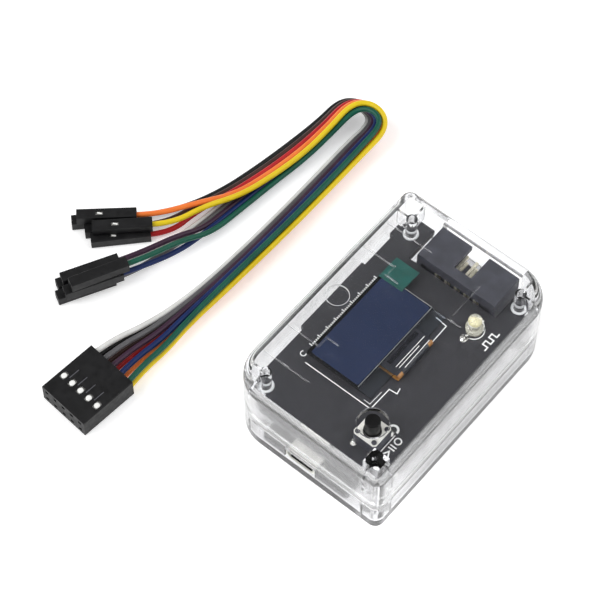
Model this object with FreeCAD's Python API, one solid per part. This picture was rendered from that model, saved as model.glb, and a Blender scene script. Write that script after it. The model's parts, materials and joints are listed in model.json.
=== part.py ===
"""Pocket logic analyzer in a clear two-part case, with its loose ten-way probe lead set.

Frame: +Z up, origin at the centre of the case's underside, +X along the long side
towards the probe socket, +Y across the case towards the lead set. All sizes in mm.
"""
import FreeCAD
import Part
import math
import os

V = FreeCAD.Vector
os.makedirs("parts", exist_ok=True)

# ---------------------------------------------------------------- driving dimensions
CASE_LENGTH = 60.0
CASE_WIDTH = 40.0
CASE_HEIGHT = 20.0
PARTING_Z = 8.0
WALL = 1.8
LID_THICKNESS = 1.2
FLOOR_THICKNESS = 1.6
BIG_CORNER = 8.6          # at -X+Y and +X-Y
SMALL_CORNER = 2.2        # at +X+Y and -X-Y
TOP_EDGE_ROUND = 1.8
BASE_EDGE_ROUND = 0.8
SEAM_CHAMFER = 0.25
LIP_HEIGHT = 1.2
LIP_OUTSET = 1.0          # lip's outer face, measured in from the case's outer face
LIP_GAP = 0.08

BOARD_THICKNESS = 1.6
PANEL_Z = 11.4            # underside of the upper, visible board
PANEL_TOP = PANEL_Z + BOARD_THICKNESS
MAIN_Z = 2.0              # underside of the lower board
MAIN_TOP = MAIN_Z + BOARD_THICKNESS
LID_UNDERSIDE = CASE_HEIGHT - LID_THICKNESS

ROUND_POSTS = [(24.0, 14.4), (24.0, -14.4), (-24.0, 14.4)]
SQUARE_POST = (-25.2, -15.4)
POST_RADIUS = 1.25
PEG_RADIUS = 0.9
BOSS_RADIUS = 2.3
PEG_TIP_Z = 9.0

BUTTON_AT = (-19.5, -9.9)
BUTTON_TOP = 21.0
BUTTON_TRAVEL = 0.25
LID_HOLE_RADIUS = 3.3
LID_HOLE_ROUND = 0.2
PLUNGER_RADIUS = 1.65
GATE_MARK_AT = (-0.9, 14.4)
GATE_MARK_RADIUS = 2.6

LED_AT = (14.0, -10.3)
LED_RADIUS = 1.5
LED_TOP = 17.9

PIN_PITCH = 2.54
PIN_SIZE = 0.64
SHROUD_DEPTH = 8.8
SHROUD_WIDTH = 20.34
SHROUD_HEIGHT = 8.9
SHROUD_BACK_X = 19.1
SHROUD_CENTRE_Y = -1.2
SHROUD_WALL = 1.2
SHROUD_FLOOR = 2.4
KEY_NOTCH = 4.5
SHROUD_CENTRE_Z = PANEL_Z + BOARD_THICKNESS / 2
SHROUD_Z = SHROUD_CENTRE_Z - SHROUD_HEIGHT / 2
SHROUD_FRONT_X = SHROUD_BACK_X + SHROUD_DEPTH
PIN_ROW_Z = (SHROUD_CENTRE_Z - PIN_PITCH / 2, SHROUD_CENTRE_Z + PIN_PITCH / 2)
PIN_TAIL_X = (20.32, 19.5)          # upright tails of the lower and of the upper row
TAIL_RECESS = 1.6         # depth of the hollow behind the shroud that the tails stand in

USB_CENTRE_Y = 0.5
USB_WIDTH = 7.5
USB_HEIGHT = 2.5
USB_DEPTH = 5.0
USB_MOUTH_X = -CASE_LENGTH / 2 + 0.25
USB_SHEET = 0.25

DISPLAY_X = (-13.3, 11.44)
DISPLAY_Y = (-4.6, 12.3)
COVER_Y0 = -1.2           # edge of the upper glass; the driver's ledge lies beyond it
TAPE_THICKNESS = 1.2
GLASS_THICKNESS = 0.55
POLARIZER_THICKNESS = 0.2
GLASS_Z = PANEL_TOP + TAPE_THICKNESS
COVER_Z = GLASS_Z + GLASS_THICKNESS
POLARIZER_Z = COVER_Z + GLASS_THICKNESS

WIRE_DIAMETER = 1.25
LEAD_HOUSING_LENGTH = 14.0
SINGLE_LENGTH = 13.2
SINGLE_WIDTH = 2.5
SINGLE_WINDOW_X = (-9.0, -7.3)
WINDOW_ROLL = {"lower": 0.0, "upper": 180.0}
LEAD_ROW_Z = (1.28, 3.82)
LEAD_HOUSING_AT = (-37.2, 45.9)     # middle of the wire side of the ten-way housing
LEAD_HOUSING_TURN = -5.0            # degrees about +Z
LEAD_HOUSING_WIDTH = 12.9
LEAD_HOUSING_HEIGHT = 5.1
LEAD_WINDOW_X = (-9.9, -8.0)
LEAD_GROOVE_X = (-8.6, -5.8)


# ---------------------------------------------------------------- small helpers
def box(x0, x1, y0, y1, z0, z1):
    return Part.makeBox(x1 - x0, y1 - y0, z1 - z0, V(x0, y0, z0))


def centred_box(cx, cy, size_x, size_y, z0, z1):
    return box(cx - size_x / 2, cx + size_x / 2, cy - size_y / 2, cy + size_y / 2, z0, z1)


def rounded_box(x0, x1, y0, y1, z0, z1, radius):
    """Block whose four upright edges are rounded."""
    block = box(x0, x1, y0, y1, z0, z1)
    return block.makeFillet(radius, [e for e in block.Edges if abs(e.BoundBox.ZLength - (z1 - z0)) < 1e-4])


def cylinder(cx, cy, radius, z0, z1):
    return Part.makeCylinder(radius, z1 - z0, V(cx, cy, z0))


def prism(points, z0, z1):
    """Upright solid on a polygon given as (x, y) points."""
    ring = [V(x, y, z0) for x, y in points]
    face = Part.Face(Part.makePolygon(ring + ring[:1]))
    return face.extrude(V(0, 0, z1 - z0))


def fused(solids):
    result = solids[0]
    if len(solids) > 1:
        result = solids[0].multiFuse(solids[1:])
    return result.removeSplitter()


def save(name, shape):
    shape.exportStep("parts/%s.step" % name)


def rounded_plan(inset, z0, z1, grow=0.0):
    """Case plan with two big and two small corners, drawn in by `inset`."""
    hx = CASE_LENGTH / 2 - inset + grow
    hy = CASE_WIDTH / 2 - inset + grow
    big = BIG_CORNER - inset + grow
    small = max(SMALL_CORNER - inset + grow, 0.4)
    radius = {(-1, -1): small, (1, -1): big, (1, 1): small, (-1, 1): big}
    edges = []
    corners = [(-1, -1), (1, -1), (1, 1), (-1, 1)]
    points = []
    for sx, sy in corners:
        r = radius[(sx, sy)]
        cx = sx * (hx - r)
        cy = sy * (hy - r)
        entry = math.atan2(sy, sx) - math.pi / 4
        arc = [V(cx + r * math.cos(entry + k * math.pi / 4), cy + r * math.sin(entry + k * math.pi / 4), z0)
               for k in (0, 1, 2)]
        points.append(arc)
    for k in range(4):
        start = points[k - 1][2]
        edges.append(Part.LineSegment(start, points[k][0]).toShape())
        edges.append(Part.Arc(*points[k]).toShape())
    face = Part.Face(Part.Wire(edges))
    return face.extrude(V(0, 0, z1 - z0))


def edges_at(shape, z, tolerance=1e-4):
    found = []
    for edge in shape.Edges:
        bounds = edge.BoundBox
        if abs(bounds.ZMin - z) < tolerance and abs(bounds.ZMax - z) < tolerance:
            found.append(edge)
    return found


# ---------------------------------------------------------------- case
def header_window():
    """Slot in the end wall that the probe plug passes through."""
    gap = 0.3
    half = SHROUD_WIDTH / 2 + gap
    end = CASE_LENGTH / 2
    return box(end - WALL - 0.5, end + 1, SHROUD_CENTRE_Y - half, SHROUD_CENTRE_Y + half,
               SHROUD_Z - gap, SHROUD_Z + SHROUD_HEIGHT + gap)


def lid_ribs():
    """Fine raised lines on the underside of the lid."""
    rib = 0.25
    low = LID_UNDERSIDE - 0.3
    solids = []
    for side in (-1, 1):
        solids.append(centred_box(side * 20.2, 12.4, rib, 12.4, low, LID_UNDERSIDE))
        solids.append(centred_box(side * 12.4, 14.3, rib, 8.6, low, LID_UNDERSIDE))
        solids.append(centred_box(side * 11.1, 10.0, 3.3, rib, low, LID_UNDERSIDE))
        solids.append(centred_box(side * 9.7, 8.6, rib, 3.5, low, LID_UNDERSIDE))
    solids.append(centred_box(15.4, -6.6, 9.0, rib, low, LID_UNDERSIDE))
    solids.append(centred_box(9.7, -8.0, rib, 3.4, low, LID_UNDERSIDE))
    return solids


def post_ribs(cx, cy, z0, z1):
    """Cross of two thin ribs that ties a post to the two walls beside it."""
    rib = 0.5
    wall_x = math.copysign(CASE_LENGTH / 2 - WALL + 0.2, cx)
    wall_y = math.copysign(CASE_WIDTH / 2 - WALL + 0.2, cy)
    along_x = box(min(cx, wall_x), max(cx, wall_x), cy - rib / 2, cy + rib / 2, z0, z1)
    along_y = box(cx - rib / 2, cx + rib / 2, min(cy, wall_y), max(cy, wall_y), z0, z1)
    return [along_x, along_y]


def top_shell():
    outer = rounded_plan(0, PARTING_Z, CASE_HEIGHT)
    outer = outer.makeFillet(TOP_EDGE_ROUND, edges_at(outer, CASE_HEIGHT))
    outer = outer.makeChamfer(SEAM_CHAMFER, edges_at(outer, PARTING_Z))
    shell = outer.cut(rounded_plan(WALL, PARTING_Z - 1, LID_UNDERSIDE))
    shell = shell.cut(rounded_plan(LIP_OUTSET - LIP_GAP, PARTING_Z - 1, PARTING_Z + LIP_HEIGHT + LIP_GAP))
    parts = [shell] + lid_ribs()
    for x, y in ROUND_POSTS:
        parts.append(cylinder(x, y, POST_RADIUS, PANEL_TOP, LID_UNDERSIDE))
        parts.append(cylinder(x, y, PEG_RADIUS, PEG_TIP_Z, PANEL_TOP + 0.5))
        parts += post_ribs(x, y, PANEL_TOP + 1.2, LID_UNDERSIDE)
    x, y = SQUARE_POST
    parts.append(centred_box(x, y, 3.8, 3.8, PANEL_Z, LID_UNDERSIDE))
    parts.append(cylinder(x, y, PEG_RADIUS, PEG_TIP_Z, PANEL_Z + 0.5))
    parts += post_ribs(x, y, PANEL_Z, LID_UNDERSIDE)
    shell = fused(parts)
    hole = cylinder(*BUTTON_AT, LID_HOLE_RADIUS, LID_UNDERSIDE - 1, CASE_HEIGHT + 1)
    gx, gy = GATE_MARK_AT
    gate = cylinder(gx, gy, GATE_MARK_RADIUS, CASE_HEIGHT - 0.35, CASE_HEIGHT + 1)
    shell = shell.cut(hole).cut(gate).cut(header_window())
    rim = [e for e in edges_at(shell, CASE_HEIGHT) if abs(e.BoundBox.XLength - 2 * LID_HOLE_RADIUS) < 0.05]
    return shell.makeFillet(LID_HOLE_ROUND, rim)


def usb_window():
    gap = 0.3
    return box(-CASE_LENGTH / 2 - 1, -CASE_LENGTH / 2 + WALL + 0.5, USB_CENTRE_Y - USB_WIDTH / 2 - gap,
               USB_CENTRE_Y + USB_WIDTH / 2 + gap, MAIN_TOP - gap, MAIN_TOP + USB_HEIGHT + gap)


def bottom_shell():
    outer = rounded_plan(0, 0, PARTING_Z)
    outer = outer.makeFillet(BASE_EDGE_ROUND, edges_at(outer, 0))
    outer = outer.makeChamfer(SEAM_CHAMFER, edges_at(outer, PARTING_Z))
    cavity = rounded_plan(WALL, FLOOR_THICKNESS, PARTING_Z + 5)
    lip = rounded_plan(LIP_OUTSET, PARTING_Z - 0.5, PARTING_Z + LIP_HEIGHT)
    shell = outer.fuse(lip).cut(cavity)
    parts = [shell]
    for x, y in ROUND_POSTS + [SQUARE_POST]:
        parts.append(cylinder(x, y, BOSS_RADIUS, FLOOR_THICKNESS, PANEL_Z))
        parts += post_ribs(x, y, FLOOR_THICKNESS, PARTING_Z - 1.5)
    for x in (-24.0, 17.0):
        for y in (-8.5, 8.5):
            parts.append(cylinder(x, y, 1.5, FLOOR_THICKNESS, MAIN_Z))
    shell = fused(parts)
    for x, y in ROUND_POSTS + [SQUARE_POST]:
        shell = shell.cut(cylinder(x, y, PEG_RADIUS, PEG_TIP_Z - 0.5, PANEL_Z + 1))
    return shell.cut(usb_window()).cut(header_window())


# ---------------------------------------------------------------- boards
def link_pin_places():
    return [(-8.89 + PIN_PITCH * k, 9.4) for k in range(8)]


def button_leg_places():
    bx, by = BUTTON_AT
    return [(bx + sx * 3.25, by + sy * 2.25) for sx in (-1, 1) for sy in (-1, 1)]


def led_leg_places():
    return [(LED_AT[0] - PIN_PITCH / 2, LED_AT[1]), (LED_AT[0] + PIN_PITCH / 2, LED_AT[1])]


def panel_board():
    """Upper board: rounded plate with two side tabs, a corner notch and the socket's cut-out."""
    x0, x1, half = -27.4, 27.9, 17.2
    corner = 5.8
    plate = box(x0, x1, -half, half, PANEL_Z, PANEL_TOP)
    tabs = [box(-8.4, 11.8, half - 1, 18.0, PANEL_Z, PANEL_TOP),
            box(21.3, 24.2, half - 1, 18.0, PANEL_Z, PANEL_TOP)]
    board = fused([plate] + tabs)
    for sx, sy in ((-1, 1), (1, -1)):
        cx = (x0 if sx < 0 else x1) - sx * corner
        cy = sy * (half - corner)
        outside = centred_box(cx + sx * corner, cy + sy * corner, 2 * corner, 2 * corner, PANEL_Z, PANEL_TOP)
        board = board.cut(outside.cut(cylinder(cx, cy, corner, PANEL_Z, PANEL_TOP)))
    bevel = 3.4
    board = board.cut(prism([(x1 - bevel, half + 0.9), (x1 + 1, half + 0.9), (x1 + 1, half - bevel)],
                            PANEL_Z, PANEL_TOP))
    board = board.cut(box(x0 - 1, -21.5, -half - 1, -12.7, PANEL_Z, PANEL_TOP))
    board = board.cut(box(SHROUD_BACK_X - 0.1, x1 + 1, -12.2, 11.0, PANEL_Z, PANEL_TOP))
    board = board.cut(box(12.2, 16.2, -half - 1, -half + 0.5, PANEL_Z, PANEL_TOP))
    for x, y in ROUND_POSTS:
        board = board.cut(cylinder(x, y, PEG_RADIUS + 0.12, PANEL_Z, PANEL_TOP))
    for x, y in button_leg_places() + led_leg_places():
        board = board.cut(cylinder(x, y, 0.45, PANEL_Z, PANEL_TOP))
    for x, y in link_pin_places():
        board = board.cut(cylinder(x, y, 0.5, PANEL_Z, PANEL_TOP))
    return board


def main_board():
    board = box(-28.0, 21.0, -11.3, 11.3, MAIN_Z, MAIN_TOP)
    upright = [e for e in board.Edges if e.BoundBox.ZLength > 1]
    return board.makeFillet(1.0, upright)


def link_socket():
    length = 8 * PIN_PITCH
    body = box(-length / 2, length / 2, 9.4 - 1.25, 9.4 + 1.25, MAIN_TOP, MAIN_TOP + 5.0)
    for x, y in link_pin_places():
        body = body.cut(centred_box(x, y, PIN_SIZE, PIN_SIZE, MAIN_TOP + 1.4, MAIN_TOP + 6))
    return body


def link_pin_strip():
    length = 8 * PIN_PITCH
    body = box(-length / 2, length / 2, 9.4 - 1.25, 9.4 + 1.25, PANEL_Z - 2.5, PANEL_Z)
    for x, y in link_pin_places():
        body = body.cut(centred_box(x, y, PIN_SIZE, PIN_SIZE, PANEL_Z - 3, PANEL_Z + 1))
    return body


def link_pins():
    pins = [centred_box(x, y, PIN_SIZE, PIN_SIZE, MAIN_TOP + 1.5, PANEL_TOP) for x, y in link_pin_places()]
    return Part.makeCompound(pins)


# ---------------------------------------------------------------- display
def display_tape():
    return box(DISPLAY_X[0] + 1.0, DISPLAY_X[1] - 1.0, 1.6, DISPLAY_Y[1] - 0.5, PANEL_TOP, GLASS_Z)


def display_substrate():
    return box(*DISPLAY_X, *DISPLAY_Y, GLASS_Z, COVER_Z)


def display_cover_glass():
    return box(*DISPLAY_X, COVER_Y0, DISPLAY_Y[1], COVER_Z, POLARIZER_Z)


def display_polarizer():
    film = box(DISPLAY_X[0] + 0.3, DISPLAY_X[1] - 0.4, COVER_Y0 + 0.3, DISPLAY_Y[1] - 0.8,
               POLARIZER_Z, POLARIZER_Z + POLARIZER_THICKNESS)
    upright = [e for e in film.Edges if abs(e.BoundBox.ZLength - POLARIZER_THICKNESS) < 1e-4
               and e.BoundBox.XLength < 1e-4 and e.BoundBox.YLength < 1e-4]
    return film.makeFillet(0.4, upright)


def display_driver_chip():
    return box(-4.6, 4.8, -2.75, -1.75, COVER_Z, COVER_Z + 0.3)


def folded_strip(path, thickness, x0, x1):
    """Strip of even thickness along a (y, z) path, extruded from x0 to x1."""
    count = len(path)
    left = []
    right = []
    for k in range(count):
        a = path[max(k - 1, 0)]
        b = path[min(k + 1, count - 1)]
        length = math.hypot(b[0] - a[0], b[1] - a[1])
        nx = -(b[1] - a[1]) / length * thickness / 2
        nz = (b[0] - a[0]) / length * thickness / 2
        left.append(V(x0, path[k][0] + nx, path[k][1] + nz))
        right.append(V(x0, path[k][0] - nx, path[k][1] - nz))
    ring = left + right[::-1]
    face = Part.Face(Part.makePolygon(ring + ring[:1]))
    return face.extrude(V(x1 - x0, 0, 0))


def display_flex():
    """Flat cable: bonded on the glass ledge, folded down and back onto the board."""
    thickness = 0.14
    fold_y = -5.3
    fold_radius = (COVER_Z - PANEL_TOP - 0.05) / 2
    top_z = COVER_Z + thickness / 2 + 0.01
    path = [(-3.75, top_z)]
    for k in range(9):
        angle = math.pi / 2 + math.pi * k / 8
        path.append((fold_y + fold_radius * math.cos(angle) * 0.9,
                     top_z - fold_radius + fold_radius * math.sin(angle)))
    path.append((0.8, path[-1][1]))
    return folded_strip(path, thickness, -5.9, 5.4)


def display_pull_tab():
    """Film tab that hangs past the end of the display."""
    thickness = 0.12
    z = POLARIZER_Z + POLARIZER_THICKNESS + thickness / 2 + 0.01
    profile = [(10.2, z), (12.2, z + 0.05), (14.2, z + 0.02), (16.3, z - 0.25)]
    upper = [V(x, 6.1, level + thickness / 2) for x, level in profile]
    lower = [V(x, 6.1, level - thickness / 2) for x, level in profile]
    ring = upper + lower[::-1]
    return Part.Face(Part.makePolygon(ring + ring[:1])).extrude(V(0, 6.1, 0))


# ---------------------------------------------------------------- probe socket
def pin_places():
    return [(SHROUD_CENTRE_Y + PIN_PITCH * (k - 2), z) for k in range(5) for z in PIN_ROW_Z]


def header_pins():
    """Right-angle pins: forward into the shroud, and down behind it to the lower board."""
    half = PIN_SIZE / 2
    front_x = SHROUD_FRONT_X - 0.7
    tip = 0.25
    pins = []
    for y, z in pin_places():
        tail_x = PIN_TAIL_X[PIN_ROW_Z.index(z)]
        pin = box(tail_x - half, front_x, y - half, y + half, z - half, z + half)
        pin = pin.makeChamfer(tip, [e for e in pin.Edges if abs(e.BoundBox.XMin - front_x) < 1e-4])
        tail = box(tail_x - half, tail_x + half, y - half, y + half, MAIN_TOP, z + half)
        pins.append(fused([pin, tail]))
    return Part.makeCompound(pins)


def header_shroud():
    half = SHROUD_WIDTH / 2
    y = SHROUD_CENTRE_Y
    top = SHROUD_Z + SHROUD_HEIGHT
    body = box(SHROUD_BACK_X, SHROUD_FRONT_X, y - half, y + half, SHROUD_Z, top)
    inner = half - SHROUD_WALL
    cavity = box(SHROUD_BACK_X + SHROUD_FLOOR, SHROUD_FRONT_X + 1, y - inner, y + inner,
                 SHROUD_Z + SHROUD_WALL, top - SHROUD_WALL)
    notch = box(SHROUD_BACK_X + SHROUD_FLOOR, SHROUD_FRONT_X + 1, y - KEY_NOTCH / 2, y + KEY_NOTCH / 2,
                top - SHROUD_WALL - 0.5, top + 1)
    recess = box(SHROUD_BACK_X - 1, SHROUD_BACK_X + TAIL_RECESS, y - inner, y + inner,
                 SHROUD_Z - 1, PIN_ROW_Z[1] + PIN_SIZE / 2 + 0.1)
    body = body.cut(cavity).cut(notch).cut(recess)
    for side in (-1, 1):
        groove = centred_box(SHROUD_BACK_X + 4.4, y + side * half, SHROUD_DEPTH - 3.0, 0.8, SHROUD_Z + 1.5,
                             SHROUD_Z + 3.0)
        body = body.cut(groove)
    size = PIN_SIZE / 2
    for py, pz in pin_places():
        body = body.cut(box(SHROUD_BACK_X - 1, SHROUD_BACK_X + SHROUD_FLOOR + 1, py - size, py + size,
                            pz - size, pz + size))
    return body


# ---------------------------------------------------------------- button
BUTTON_BASE_TOP = PANEL_TOP + 3.2
DOME_Z = PANEL_TOP + 0.6
PLUNGER_BOTTOM = DOME_Z + 0.75
FLANGE_TOP = PLUNGER_BOTTOM + 1.1


def button_base():
    bx, by = BUTTON_AT
    body = centred_box(bx, by, 6.0, 6.0, PANEL_TOP, BUTTON_BASE_TOP)
    upright = [e for e in body.Edges if e.BoundBox.ZLength > 1]
    body = body.makeChamfer(0.6, upright)
    return body.cut(cylinder(bx, by, 2.45, DOME_Z, BUTTON_BASE_TOP + 1))


def button_cover():
    bx, by = BUTTON_AT
    plate = centred_box(bx, by, 5.8, 5.8, BUTTON_BASE_TOP, BUTTON_BASE_TOP + 0.3)
    upright = [e for e in plate.Edges if abs(e.BoundBox.ZLength - 0.3) < 1e-4]
    plate = plate.makeChamfer(0.5, upright)
    rivets = [cylinder(bx + sx * 2.15, by + sy * 2.15, 0.42, BUTTON_BASE_TOP + 0.2, BUTTON_BASE_TOP + 0.5)
              for sx in (-1, 1) for sy in (-1, 1)]
    plate = fused([plate] + rivets)
    return plate.cut(cylinder(bx, by, 1.95, BUTTON_BASE_TOP - 1, BUTTON_BASE_TOP + 1))


def button_plunger():
    bx, by = BUTTON_AT
    flange = cylinder(bx, by, 2.3, PLUNGER_BOTTOM, FLANGE_TOP)
    collar = cylinder(bx, by, 1.85, PLUNGER_BOTTOM, BUTTON_BASE_TOP + 1.1)
    stem = cylinder(bx, by, PLUNGER_RADIUS, PLUNGER_BOTTOM, BUTTON_TOP)
    plunger = fused([flange, collar, stem])
    return plunger.makeFillet(0.25, edges_at(plunger, BUTTON_TOP))


def button_dome():
    bx, by = BUTTON_AT
    radius = 2.35
    rise = 0.6
    sheet = 0.1
    ball = (radius * radius + rise * rise) / (2 * rise)
    centre = V(bx, by, DOME_Z + rise - ball)
    outer = Part.makeSphere(ball, centre)
    inner = Part.makeSphere(ball - sheet, centre)
    return outer.cut(inner).common(cylinder(bx, by, radius, DOME_Z + 0.02, DOME_Z + 1.0))


def button_terminals():
    legs = []
    bx, by = BUTTON_AT
    for x, y in button_leg_places():
        side = math.copysign(1, x - bx)
        face_x = bx + side * 3.0
        shoulder = box(min(face_x, x + side * 0.15), max(face_x, x + side * 0.15), y - 0.35, y + 0.35,
                       PANEL_TOP + 0.1, PANEL_TOP + 1.0)
        leg = box(x - 0.15, x + 0.15, y - 0.3, y + 0.3, PANEL_Z - 1.0, PANEL_TOP + 0.9)
        legs.append(fused([shoulder, leg]))
    return Part.makeCompound(legs)


# ---------------------------------------------------------------- state lamp
def led_lens():
    lx, ly = LED_AT
    base = PANEL_TOP + 0.2
    flange = cylinder(lx, ly, LED_RADIUS + 0.4, base, base + 1.0)
    flange = flange.cut(box(lx + LED_RADIUS, lx + 3, ly - 3, ly + 3, base - 1, base + 2))
    barrel = cylinder(lx, ly, LED_RADIUS, base, LED_TOP - LED_RADIUS)
    dome = Part.makeSphere(LED_RADIUS, V(lx, ly, LED_TOP - LED_RADIUS))
    return fused([flange, barrel, dome])


def led_leads():
    """Two legs with the cup and the post that stand inside the lens."""
    (ax, ay), (cx, cy) = led_leg_places()
    low = PANEL_Z - 1.2
    legs = []
    cup = cylinder(ax + 0.75, ay, 0.42, PANEL_TOP + 2.3, PANEL_TOP + 2.9)
    cup_arm = box(ax - 0.25, ax + 0.8, ay - 0.2, ay + 0.2, PANEL_TOP + 1.6, PANEL_TOP + 2.4)
    legs.append(fused([centred_box(ax, ay, 0.5, 0.5, low, PANEL_TOP + 2.4), cup_arm, cup]))
    post_head = box(cx - 0.5, cx + 0.25, cy - 0.2, cy + 0.2, PANEL_TOP + 2.3, PANEL_TOP + 2.8)
    legs.append(fused([centred_box(cx, cy, 0.5, 0.5, low, PANEL_TOP + 2.5), post_head]))
    return Part.makeCompound(legs)


# ---------------------------------------------------------------- USB socket
def usb_profile(inset):
    """Five-sided micro socket outline, wide side up, as (y, z) points."""
    half = USB_WIDTH / 2 - inset
    low = MAIN_TOP + inset
    high = MAIN_TOP + USB_HEIGHT - inset
    taper = 0.85
    return [(USB_CENTRE_Y - half + taper, low), (USB_CENTRE_Y + half - taper, low),
            (USB_CENTRE_Y + half, low + 0.9), (USB_CENTRE_Y + half, high),
            (USB_CENTRE_Y - half, high), (USB_CENTRE_Y - half, low + 0.9)]


def extruded_profile(profile, x0, x1):
    ring = [V(x0, y, z) for y, z in profile]
    return Part.Face(Part.makePolygon(ring + ring[:1])).extrude(V(x1 - x0, 0, 0))


def usb_shell():
    outer = extruded_profile(usb_profile(0), USB_MOUTH_X, USB_MOUTH_X + USB_DEPTH)
    inner = extruded_profile(usb_profile(USB_SHEET), USB_MOUTH_X - 1, USB_MOUTH_X + USB_DEPTH - 0.6)
    feet = [box(USB_MOUTH_X + 2.6, USB_MOUTH_X + 4.2, USB_CENTRE_Y + side * 3.55 - 0.75,
                USB_CENTRE_Y + side * 3.55 + 0.75, MAIN_TOP, MAIN_TOP + 0.25) for side in (-1, 1)]
    return fused([outer.cut(inner)] + [foot.cut(inner) for foot in feet])


def usb_tongue():
    return box(USB_MOUTH_X + 0.9, USB_MOUTH_X + USB_DEPTH - 0.6, USB_CENTRE_Y - 1.9, USB_CENTRE_Y + 1.9,
               MAIN_TOP + 1.35, MAIN_TOP + 1.9)


def usb_contacts():
    strips = [box(USB_MOUTH_X + 1.2, USB_MOUTH_X + USB_DEPTH - 0.8, USB_CENTRE_Y + 0.65 * (k - 2) - 0.15,
                  USB_CENTRE_Y + 0.65 * (k - 2) + 0.15, MAIN_TOP + 1.2, MAIN_TOP + 1.35) for k in range(5)]
    return Part.makeCompound(strips)


# ---------------------------------------------------------------- electronics on the boards
def chamfered_chip(cx, cy, size_x, size_y, z0, height):
    body = centred_box(cx, cy, size_x, size_y, z0 + 0.1, z0 + height)
    return body.makeChamfer(0.15, edges_at(body, z0 + height))


def gull_wings(cx, cy, size_x, size_y, pitch, per_side, sides, z0):
    """Bent legs along the given sides of a chip: 'x' for the two X faces, 'y' for the Y faces."""
    reach = 1.0
    knee = 0.45
    width = pitch * 0.45
    legs = []
    for axis in sides:
        half = (size_x if axis == "x" else size_y) / 2
        for side in (-1, 1):
            arm = sorted((side * half, side * (half + knee)))
            foot = sorted((side * (half + knee), side * (half + reach)))
            for k in range(per_side):
                t = (k - (per_side - 1) / 2) * pitch
                band = (t - width / 2, t + width / 2)
                pieces = []
                for span, height in ((foot, 0.15), (arm, 0.6)):
                    (x0, x1), (y0, y1) = (span, band) if axis == "x" else (band, span)
                    pieces.append(box(cx + x0, cx + x1, cy + y0, cy + y1, z0, z0 + height))
                legs.append(fused(pieces))
    return legs


MCU_AT = (-6.0, -1.0)
BUFFER_PLACES = [(13.5, -5.0), (13.5, 3.0)]
MEMORY_AT = (3.6, -5.6)
REGULATOR_AT = (-20.5, -6.5)


def microcontroller():
    return chamfered_chip(*MCU_AT, 7.0, 7.0, MAIN_TOP, 1.5)


def microcontroller_pins():
    return Part.makeCompound(gull_wings(*MCU_AT, 7.0, 7.0, 0.5, 12, "xy", MAIN_TOP))


def input_buffers():
    return Part.makeCompound([chamfered_chip(x, y, 4.4, 6.5, MAIN_TOP, 1.1) for x, y in BUFFER_PLACES])


def input_buffer_pins():
    legs = []
    for x, y in BUFFER_PLACES:
        legs += gull_wings(x, y, 4.4, 6.5, 0.65, 10, "x", MAIN_TOP)
    return Part.makeCompound(legs)


def memory_chip():
    body = chamfered_chip(*MEMORY_AT, 3.9, 4.9, MAIN_TOP, 1.6)
    return Part.makeCompound([body] + gull_wings(*MEMORY_AT, 3.9, 4.9, 1.27, 4, "x", MAIN_TOP))


def voltage_regulator():
    body = chamfered_chip(*REGULATOR_AT, 3.0, 1.7, MAIN_TOP, 1.2)
    return Part.makeCompound([body] + gull_wings(*REGULATOR_AT, 3.0, 1.7, 0.95, 2, "y", MAIN_TOP))


def crystal_oscillator():
    can = centred_box(-6.0, -8.4, 3.2, 2.5, MAIN_TOP, MAIN_TOP + 0.8)
    return can.makeFillet(0.3, edges_at(can, MAIN_TOP + 0.8))


def chip_pairs(places, length, width, height, z0):
    return Part.makeCompound([centred_box(x, y, length, width, z0, z0 + height) for x, y in places])


RESISTOR_PLACES = [(17.8, -8.0 + 1.9 * k) for k in range(8)] + [(-14.0, 4.5), (-14.0, 6.5), (-1.0, 5.4)]
CAPACITOR_PLACES = [(-22.4, -4.4), (-22.4, 5.4), (-15.0, -6.5), (-11.8, -7.6), (-0.6, -7.6), (-12.4, 3.2),
                    (8.2, 6.2), (8.2, -8.8)]


def resistors():
    return chip_pairs(RESISTOR_PLACES, 1.6, 0.8, 0.45, MAIN_TOP)


def capacitors():
    return chip_pairs(CAPACITOR_PLACES, 2.0, 1.25, 0.9, MAIN_TOP)


def lamp_resistor():
    return centred_box(LED_AT[0] - 3.1, LED_AT[1] + 0.2, 0.8, 1.6, PANEL_TOP, PANEL_TOP + 0.45)


# ---------------------------------------------------------------- probe lead set
LAYERS = {"upper": ["white", "grey", "purple", "blue", "green"],
          "lower": ["black", "brown", "red", "orange", "yellow"]}

# Edge wires of each five-wire layer, from the ten-way housing round the loop to the split.
# The free edge carries white or black, the seam edge green or yellow.
UPPER_FREE = [(-31.9, 50.2, 3.5), (-25.4, 48.0, 2.7), (-18.0, 46.3, 2.1), (-8.5, 45.1, 1.75),
              (4.0, 44.5, 1.7), (17.0, 44.3, 1.7), (30.0, 44.4, 1.75), (39.6, 44.6, 1.8),
              (46.9, 44.2, 1.75), (49.2, 46.2, 1.6), (49.2, 49.6, 1.9), (46.9, 51.9, 1.5),
              (40.5, 52.6, 0.95), (31.6, 53.7, 0.7), (21.6, 55.0, 0.7), (11.8, 56.0, 0.7), (2.6, 57.0, 0.7)]
UPPER_SEAM = [(-32.6, 41.2, 3.6), (-25.8, 40.8, 3.3), (-18.4, 41.0, 3.9), (-8.8, 40.7, 4.5),
              (4.0, 40.3, 4.7), (17.0, 40.1, 4.7), (30.0, 40.1, 4.9), (38.6, 40.1, 5.5), (45.3, 39.9, 6.4),
              (47.6, 41.8, 6.9), (47.6, 45.2, 6.7), (45.3, 47.5, 5.7), (38.6, 48.2, 3.8),
              (30.2, 48.9, 2.6), (20.8, 50.2, 2.5), (11.2, 51.2, 2.5), (2.2, 52.2, 2.5)]
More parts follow.
